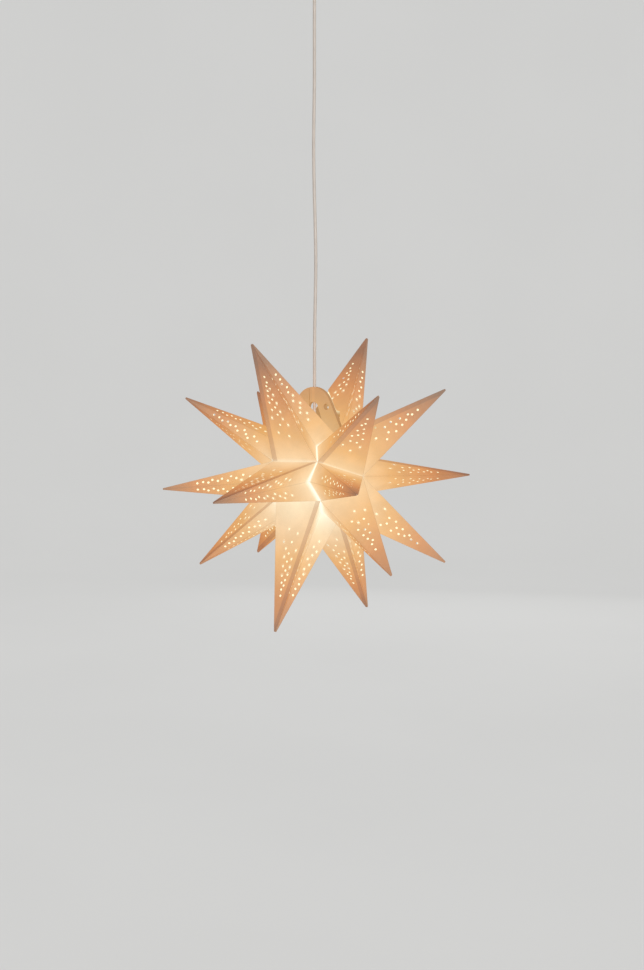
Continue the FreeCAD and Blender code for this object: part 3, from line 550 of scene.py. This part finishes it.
class Fold:
    """One flat face of a paper point, and the distances on it."""

    def __init__(self, tip, left, right, weight, flap_ridge, inner, flap_width):
        self.tip, self.weight, self.flap_width = tip, weight, flap_width
        self.normal = (left - tip).cross(right - tip).normalized()
        if self.normal.dot((left + right) / 2 - inner) < 0:
            self.normal.negate()
        edge = (right - left).normalized()
        rise = (left - tip) - edge * (left - tip).dot(edge)
        self.down = rise / rise.length_squared
        self.left, self.right = (left - tip).normalized(), (right - tip).normalized()
        self.flap = None if flap_ridge is None else (flap_ridge - tip).normalized()

    def depth(self, place):
        return (self.tip - place).dot(self.normal)

    def gap(self, offset, ridge):
        return (offset - ridge * offset.dot(ridge)).length

    def facts(self, place):
        """The (left gap, right gap, down) and the width of flap left at a place."""
        offset = place - self.tip
        down = offset.dot(self.down)
        flap = NO_FLAP
        if self.flap is not None:
            width = self.flap_width * (FLAP_TIP_SHARE + (1 - FLAP_TIP_SHARE) * down)
            flap = width - self.gap(offset, self.flap)
        return (self.gap(offset, self.left), self.gap(offset, self.right), down), flap


def dress_point(node, piece_name, tip, faces, material, paper):
    """A merged copy of the CAD point with its distances to ridges, flap and valley. Returns its holes."""
    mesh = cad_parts[node].data.copy()
    mesh.name = piece_name
    mesh.materials.clear()
    mesh.materials.append(material)
    piece = bpy.data.objects.new(piece_name, mesh)
    bpy.context.collection.objects.link(piece)
    inner = sum((left for left, _, _, _ in faces), Vector()) / len(faces)
    apex = tip + (tip - inner).normalized() * TIP_BLUNT
    folds = [Fold(apex, *face, inner, paper.flap_width) for face in faces]
    shape = bmesh.new()
    shape.from_mesh(mesh)
    bmesh.ops.remove_doubles(shape, verts=shape.verts, dist=MERGE_DISTANCE)
    shape.normal_update()
    fold_layer = shape.loops.layers.float_vector.new("fold")
    sheet_layer = shape.loops.layers.float_vector.new("sheet")
    walls = []
    for face in shape.faces:
        face.material_index = 0
        face.smooth = False
        middle = face.calc_center_median()
        fold = min(folds, key=lambda f: TURN_WEIGHT * abs(abs(f.normal.dot(face.normal)) - 1)
                   + abs(f.depth(middle)))
        facing = fold.normal.dot(face.normal)
        near = fold.depth(middle) < PAPER_DEPTH
        lies_on = near and abs(facing) > SAME_PLANE
        below_tip = (middle - apex).length > TIP_CLEARANCE
        is_wall = near and abs(facing) < ACROSS_PLANE and below_tip
        if is_wall:
            walls.append(face)
        inside = is_wall or (lies_on and facing < 0)
        for loop in face.loops:
            gaps, flap = fold.facts(loop.vert.co)
            loop[fold_layer] = gaps
            loop[sheet_layer] = (flap, fold.weight, float(inside))
    holes = find_holes(walls, folds)
    shape.to_mesh(mesh)
    shape.free()
    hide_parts(node)
    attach(piece, "star")
    return holes


def find_holes(walls, folds):
    """Middle and outward direction of each hole, from the faces of the holes' walls.

    Dicts stand in for sets here: the order of a set of faces would change from run to run."""
    holes = []
    left_over = dict.fromkeys(walls)
    while left_over:
        island, edge = [], [left_over.popitem()[0]]
        while edge:
            face = edge.pop()
            island.append(face)
            for vert in face.verts:
                for other in vert.link_faces:
                    if other in left_over:
                        del left_over[other]
                        edge.append(other)
        places = dict.fromkeys(vert.co.copy().freeze() for face in island for vert in face.verts)
        middle = sum(places, Vector()) / len(places)
        if max((place - middle).length for place in places) > LARGEST_HOLE:
            continue
        fold = min(folds, key=lambda f: abs(f.depth(middle)))
        holes.append((middle + fold.normal * fold.depth(middle), fold.normal))
    return holes


# ---------------------------------------------------------------- geometry nodes


class Builder:
    """A Geometry Nodes tree with named inputs that ends in Realize Instances and Set Material."""

    def __init__(self, name, material, **sizes):
        self.name, self.material, self.sizes = name, material, sizes
        self.tree = bpy.data.node_groups.new(name, "GeometryNodeTree")
        face = self.tree.interface
        face.new_socket("Geometry", in_out="INPUT", socket_type="NodeSocketGeometry")
        self.sockets = {}
        for key, value in sizes.items():
            kind = "NodeSocketInt" if isinstance(value, int) else "NodeSocketFloat"
            label = key.replace("_", " ").title()
            self.sockets[key] = face.new_socket(label, in_out="INPUT", socket_type=kind)
        face.new_socket("Geometry", in_out="OUTPUT", socket_type="NodeSocketGeometry")
        self.start = self.tree.nodes.new("NodeGroupInput")
        self.end = self.tree.nodes.new("NodeGroupOutput")

    def size(self, key):
        return self.start.outputs[key.replace("_", " ").title()]

    def add(self, kind, inputs=None, **settings):
        node = self.tree.nodes.new(kind)
        for name, value in settings.items():
            setattr(node, name, value)
        for key, value in (inputs or {}).items():
            if isinstance(value, bpy.types.NodeSocket):
                self.tree.links.new(value, node.inputs[key])
            else:
                node.inputs[key].default_value = value
        return node

    def finish(self, instances):
        real = self.add("GeometryNodeRealizeInstances", {"Geometry": instances})
        dressed = self.add("GeometryNodeSetMaterial", {
            "Geometry": real.outputs[0], "Material": self.material})
        self.tree.links.new(dressed.outputs[0], self.end.inputs[0])

    def run(self, piece_name, base_mesh):
        """Applies the tree to a mesh and returns the result as a plain mesh object."""
        host = bpy.data.objects.new(piece_name + "_host", base_mesh)
        bpy.context.collection.objects.link(host)
        modifier = host.modifiers.new(self.name, "NODES")
        modifier.node_group = self.tree
        for key, value in self.sizes.items():
            modifier[self.sockets[key].identifier] = value
        graph = bpy.context.evaluated_depsgraph_get()
        mesh = bpy.data.meshes.new_from_object(host.evaluated_get(graph), depsgraph=graph)
        host.modifiers.clear()
        bpy.data.objects.remove(host)
        mesh.name = piece_name
        piece = bpy.data.objects.new(piece_name, mesh)
        bpy.context.collection.objects.link(piece)
        return piece


def punched_rims(holes, paper):
    """A pressed ring round every hole of the star."""
    base = bpy.data.meshes.new("hole_places")
    base.from_pydata([place for place, _ in holes], [], [])
    outward = base.attributes.new("outward", "FLOAT_VECTOR", "POINT")
    for item, (_, normal) in zip(outward.data, holes):
        item.vector = normal
    builder = Builder("Punched Rims", rim_material(paper), rim_radius=HOLE_R + paper.rim_width * 0.6,
                      rim_thickness=paper.rim_width, rim_steps=12)
    circle = builder.add("GeometryNodeCurvePrimitiveCircle", {
        "Resolution": builder.size("rim_steps"), "Radius": builder.size("rim_radius")}, mode="RADIUS")
    profile = builder.add("GeometryNodeCurvePrimitiveCircle", {
        "Resolution": 4, "Radius": builder.size("rim_thickness")}, mode="RADIUS")
    ring = builder.add("GeometryNodeCurveToMesh", {
        "Curve": circle.outputs[0], "Profile Curve": profile.outputs[0]})
    outward = builder.add("GeometryNodeInputNamedAttribute", {"Name": "outward"}, data_type="FLOAT_VECTOR")
    turn = builder.add("FunctionNodeAlignRotationToVector", {"Vector": outward.outputs[0]}, axis="Z")
    placed = builder.add("GeometryNodeInstanceOnPoints", {
        "Points": builder.start.outputs[0], "Instance": ring.outputs[0], "Rotation": turn.outputs[0]})
    builder.finish(placed.outputs[0])
    return builder.run("punched_rims", base)


def grip_ribs(lamp, material):
    """Upright ribs round the lampholder's shell, below its cap."""
    low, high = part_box("holder_shell")
    cap_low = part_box("holder_cap")[0][2]
    radius = (high[0] - low[0]) / 2
    top, bottom = cap_low - 2.5 * MM, low[2] + 4.0 * MM
    base = bpy.data.meshes.new("shell_circle")
    builder = Builder("Grip Ribs", material, rib_count=lamp.rib_count, shell_radius=radius,
                      rib_height=lamp.rib_height, rib_length=top - bottom, rib_middle=(top + bottom) / 2)
    circle = builder.add("GeometryNodeMeshCircle", {
        "Vertices": builder.size("rib_count"), "Radius": builder.size("shell_radius")})
    height = builder.size("rib_height")
    rib = builder.add("GeometryNodeMeshCone", {
        "Vertices": 8, "Radius Top": height, "Radius Bottom": height, "Depth": builder.size("rib_length")})
    centred = builder.add("GeometryNodeTransform", {"Geometry": rib.outputs[0]})
    half = builder.add("ShaderNodeMath", {0: builder.size("rib_length"), 1: -0.5}, operation="MULTIPLY")
    down = builder.add("ShaderNodeCombineXYZ", {"Z": half.outputs[0]})
    builder.tree.links.new(down.outputs[0], centred.inputs["Translation"])
    placed = builder.add("GeometryNodeInstanceOnPoints", {
        "Points": circle.outputs[0], "Instance": centred.outputs[0]})
    lift = builder.add("ShaderNodeCombineXYZ", {"Z": builder.size("rib_middle")})
    moved = builder.add("GeometryNodeTransform", {
        "Geometry": placed.outputs[0], "Translation": lift.outputs[0]})
    builder.finish(moved.outputs[0])
    return builder.run("holder_grip_ribs", base)


# ---------------------------------------------------------------- operators


class STAR_OT_stage(bpy.types.Operator):
    """Makes the camera, the lights, the floor and the backdrop."""

    bl_idname = "star.stage"
    bl_label = "Camera, Lights and Floor"

    def execute(self, context):
        stage = context.scene.star_stage
        a, e = stage.azimuth, stage.elevation
        back = Vector((math.sin(a) * math.cos(e), -math.cos(a) * math.cos(e), math.sin(e)))
        data = bpy.data.cameras.new("camera")
        data.lens = stage.focal_length
        data.shift_x = (PHOTO_SIZE[0] / 2 - stage.star_x) / PHOTO_SIZE[1]
        data.shift_y = (stage.star_y - PHOTO_SIZE[1] / 2) / PHOTO_SIZE[1]
        data.clip_end = FARTHEST_SEEN
        camera = bpy.data.objects.new("camera", data)
        context.collection.objects.link(camera)
        camera.location = STAR_MIDDLE + back * stage.distance
        camera.rotation_euler = (-back).to_track_quat("-Z", "Y").to_euler()
        context.scene.camera = camera
        self.lights(context, a)
        self.floor(context, stage)
        context.scene.view_settings.view_transform = "Standard"
        return {"FINISHED"}

    def lights(self, context, azimuth):
        world = bpy.data.worlds.new("studio")
        world.use_nodes = True
        background = world.node_tree.nodes["Background"].inputs
        background["Color"].default_value = WORLD_COLOR
        background["Strength"].default_value = WORLD_LIGHT
        context.scene.world = world
        for name, turn, height, power in LAMPS:
            light = bpy.data.lights.new(name, "AREA")
            light.energy = power
            light.size = LAMP_SIZE
            lamp = bpy.data.objects.new(name, light)
            context.collection.objects.link(lamp)
            a = azimuth + math.radians(turn)
            offset = Vector((math.sin(a) * LAMP_DISTANCE, -math.cos(a) * LAMP_DISTANCE, height))
            lamp.location = STAR_MIDDLE + offset
            lamp.rotation_euler = (-offset).to_track_quat("-Z", "Y").to_euler()
            lamp.visible_camera = False

    def seen_pale(self, shader, tint):
        """A dull surface that the camera, glass and metal see at an even pale level, with faint shadows."""
        dull = shader.add("BsdfDiffuse", {"Color": tint})
        faint = shader.add("BsdfDiffuse", {"Color": shader.mix(BACKDROP_SHADOWS, (0, 0, 0), tint)})
        even = shader.add("Emission", {"Color": tint, "Strength": BACKDROP_LIGHT})
        rays = shader.add("LightPath")
        seen = shader.math("MAXIMUM", rays.outputs["Is Camera Ray"], rays.outputs["Is Glossy Ray"])
        seen = shader.math("MAXIMUM", seen, rays.outputs["Is Transmission Ray"])
        both = shader.add("AddShader", {0: faint.outputs[0], 1: even.outputs[0]})
        shown = shader.add("MixShader", {0: seen, 1: dull.outputs[0], 2: both.outputs[0]})
        shader.tree.links.new(shown.outputs[0], shader.output.inputs["Surface"])
        return shader.material

    def floor(self, context, stage):
        """One sheet: a floor that curves up into a round wall behind everything."""
        flat = BACKDROP_RADIUS - BACKDROP_BEND
        profile = [(flat, 0.0)]
        for i in range(1, BEND_STEPS + 1):
            turn = math.pi / 2 * i / BEND_STEPS
            profile.append((flat + BACKDROP_BEND * math.sin(turn), BACKDROP_BEND * (1 - math.cos(turn))))
        profile.append((BACKDROP_RADIUS, BACKDROP_HEIGHT))
        verts, faces, rings = [Vector((0, 0, -stage.floor_drop))], [], []
        for r, z in profile:
            ring = []
            for i in range(BACKDROP_SIDES):
                turn = 2 * math.pi * i / BACKDROP_SIDES
                ring.append(len(verts))
                verts.append(Vector((r * math.cos(turn), r * math.sin(turn), z - stage.floor_drop)))
            rings.append(ring)
        for i in range(BACKDROP_SIDES):
            j = (i + 1) % BACKDROP_SIDES
            faces.append((0, rings[0][i], rings[0][j]))
            for low, high in zip(rings, rings[1:]):
                faces.append((low[i], high[i], high[j], low[j]))
        mesh = bpy.data.meshes.new("floor")
        mesh.from_pydata(verts, [], faces)
        for polygon in mesh.polygons:
            polygon.use_smooth = True
        shader = Shader("pale_floor")
        cloud = shader.span(shader.noise(1.5, 3.0), 0.3, 0.7)
        tint = shader.mix(cloud, Vector(stage.floor_color) * 0.985, stage.floor_color)
        mesh.materials.append(self.seen_pale(shader, tint))
        floor = bpy.data.objects.new("floor", mesh)
        context.collection.objects.link(floor)


class STAR_OT_cord(bpy.types.Operator):
    """Hangs the cord on its route from the ceiling fitting to the lampholder."""

    bl_idname = "star.cord"
    bl_label = "Cord"

    def execute(self, context):
        settings = context.scene.star_cord
        curve = bpy.data.curves.new("lamp_cord", "CURVE")
        curve.dimensions = "3D"
        curve.bevel_depth = settings.diameter / 2
        curve.bevel_resolution = 6
        curve.resolution_u = 12
        curve.use_fill_caps = True
        spline = curve.splines.new("NURBS")
        spline.points.add(len(CORD_ROUTE) - 1)
        for point, (offset, height) in zip(spline.points, CORD_ROUTE):
            point.co = (*(ROUTE_DIRECTION * offset + UP * height), 1.0)
        spline.order_u = 3
        spline.use_endpoint_u = True
        spline.use_smooth = True
        curve.materials.append(cord_material(settings.jacket_color))
        cord = bpy.data.objects.new("lamp_cord", curve)
        context.collection.objects.link(cord)
        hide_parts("cord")
        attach(cord, "ceiling_fitting")
        return {"FINISHED"}


class STAR_OT_points(bpy.types.Operator):
    """Dresses the eighteen paper points and rings their punched holes."""

    bl_idname = "star.points"
    bl_label = "Paper Points"

    def execute(self, context):
        paper = context.scene.star_paper
        material = paper_material(paper)
        holes = []
        for leaf in range(1, LEAVES + 1):
            name = f"point_{leaf}_middle"
            holes += dress_point(name, f"paper_{name}", *middle_faces(leaf), material, paper)
            for word, side in SIDES.items():
                name = f"point_{leaf}_{word}"
                holes += dress_point(name, f"paper_{name}", *side_faces(leaf, side), material, paper)
        rims = punched_rims(holes, paper)
        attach(rims, "star")
        return {"FINISHED"}


class STAR_OT_tab(bpy.types.Operator):
    """Gives the two sheets of the tab their paper."""

    bl_idname = "star.tab"
    bl_label = "Tab"

    def execute(self, context):
        material = tab_material(context.scene.star_paper)
        finish_node("tab_front_sheet", material)
        finish_node("tab_back_sheet", material)
        return {"FINISHED"}


class STAR_OT_lampholder(bpy.types.Operator):
    """Finishes the lampholder and gives its shell grip ribs."""

    bl_idname = "star.lampholder"
    bl_label = "Lampholder"

    def execute(self, context):
        lamp = context.scene.star_lamp
        white = plastic_material("holder_plastic", lamp.plastic_color)
        grey = plastic_material("carrier_plastic", Vector(lamp.plastic_color) * 0.85, 0.5)
        steel = metal_material("holder_screws", (0.62, 0.62, 0.63), 0.34)
        brass = metal_material("contact_brass", (0.78, 0.57, 0.25), 0.30)
        cores = plastic_material("core_jackets", (0.10, 0.16, 0.42), 0.4)
        for node in ("holder_cap", "holder_shell"):
            finish_node(node, white)
        for node in ("cord_clamp_back", "cord_clamp_front", "contact_carrier"):
            finish_node(node, grey)
        for node in ("cord_clamp_screws", "carrier_terminal_screws"):
            finish_node(node, steel)
        for node in ("thread_sleeve", "centre_contact"):
            finish_node(node, brass)
        finish_node("holder_cores", cores)
        ribs = grip_ribs(lamp, white)
        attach(ribs, "lampholder")
        return {"FINISHED"}


class STAR_OT_bulb(bpy.types.Operator):
    """Finishes the bulb: its glass, glowing filaments, leads and cap."""

    bl_idname = "star.bulb"
    bl_label = "Bulb"

    def execute(self, context):
        lamp = context.scene.star_lamp
        finish_node("bulb_glass", glass_material("bulb_glass"))
        finish_node("bulb_stem", glass_material("stem_glass"))
        finish_node("led_filaments", filament_material(lamp))
        finish_node("filament_leads", metal_material("lead_wire", (0.55, 0.54, 0.52), 0.35))
        finish_node("bulb_cap", metal_material("cap_nickel", (0.70, 0.69, 0.66), 0.22))
        finish_node("bulb_contact", metal_material("contact_tin", (0.60, 0.60, 0.61), 0.38))
        finish_node("bulb_insulator", plastic_material("insulator", (0.02, 0.02, 0.025), 0.2))
        return {"FINISHED"}


class STAR_OT_ceiling(bpy.types.Operator):
    """Finishes the ceiling fitting and the cup that covers it."""

    bl_idname = "star.ceiling"
    bl_label = "Ceiling Fitting"

    def execute(self, context):
        lamp = context.scene.star_lamp
        white = plastic_material("canopy_plastic", lamp.plastic_color, 0.34)
        steel = metal_material("zinc_steel", (0.66, 0.67, 0.70), 0.36)
        cores = plastic_material("ceiling_core_jackets", (0.28, 0.13, 0.06), 0.4)
        canopy = ("canopy", "canopy_bush", "canopy_nut", "canopy_grub_screw")
        for node in (*canopy, "cord_hanger", "terminal_block"):
            finish_node(node, white)
        for node in ("ceiling_bracket", "hanger_screw", "hanger_pin", "terminal_block_screws"):
            finish_node(node, steel)
        finish_node("ceiling_cores", cores)
        return {"FINISHED"}


class STAR_PT_panel(bpy.types.Panel):
    """Lists the pieces of the pendant and their sizes."""

    bl_idname = "STAR_PT_panel"
    bl_label = "Moravian Star Pendant"
    bl_space_type = "VIEW_3D"
    bl_region_type = "UI"
    bl_category = "Star"

    def draw(self, context):
        for operator in OPERATORS:
            self.layout.operator(operator.bl_idname)
        for name in SETTINGS:
            settings = getattr(context.scene, name)
            box = self.layout.box()
            for key in settings.__annotations__:
                box.prop(settings, key)


OPERATORS = [
    STAR_OT_stage,
    STAR_OT_cord,
    STAR_OT_points,
    STAR_OT_tab,
    STAR_OT_lampholder,
    STAR_OT_bulb,
    STAR_OT_ceiling,
]
SETTINGS = {
    "star_paper": PaperSettings,
    "star_cord": CordSettings,
    "star_lamp": LampSettings,
    "star_stage": StageSettings,
}


def register():
    for kind in (*SETTINGS.values(), *OPERATORS, STAR_PT_panel):
        bpy.utils.register_class(kind)
    for name, kind in SETTINGS.items():
        setattr(bpy.types.Scene, name, bpy.props.PointerProperty(type=kind))


def unregister():
    for name in SETTINGS:
        delattr(bpy.types.Scene, name)
    for kind in (STAR_PT_panel, *reversed(OPERATORS), *reversed(SETTINGS.values())):
        bpy.utils.unregister_class(kind)


def main():
    register()
    bpy.ops.star.stage()
    bpy.ops.star.cord()
    bpy.ops.star.points()
    bpy.ops.star.tab()
    bpy.ops.star.lampholder()
    bpy.ops.star.bulb()
    bpy.ops.star.ceiling()


if __name__ == "__main__":
    main()
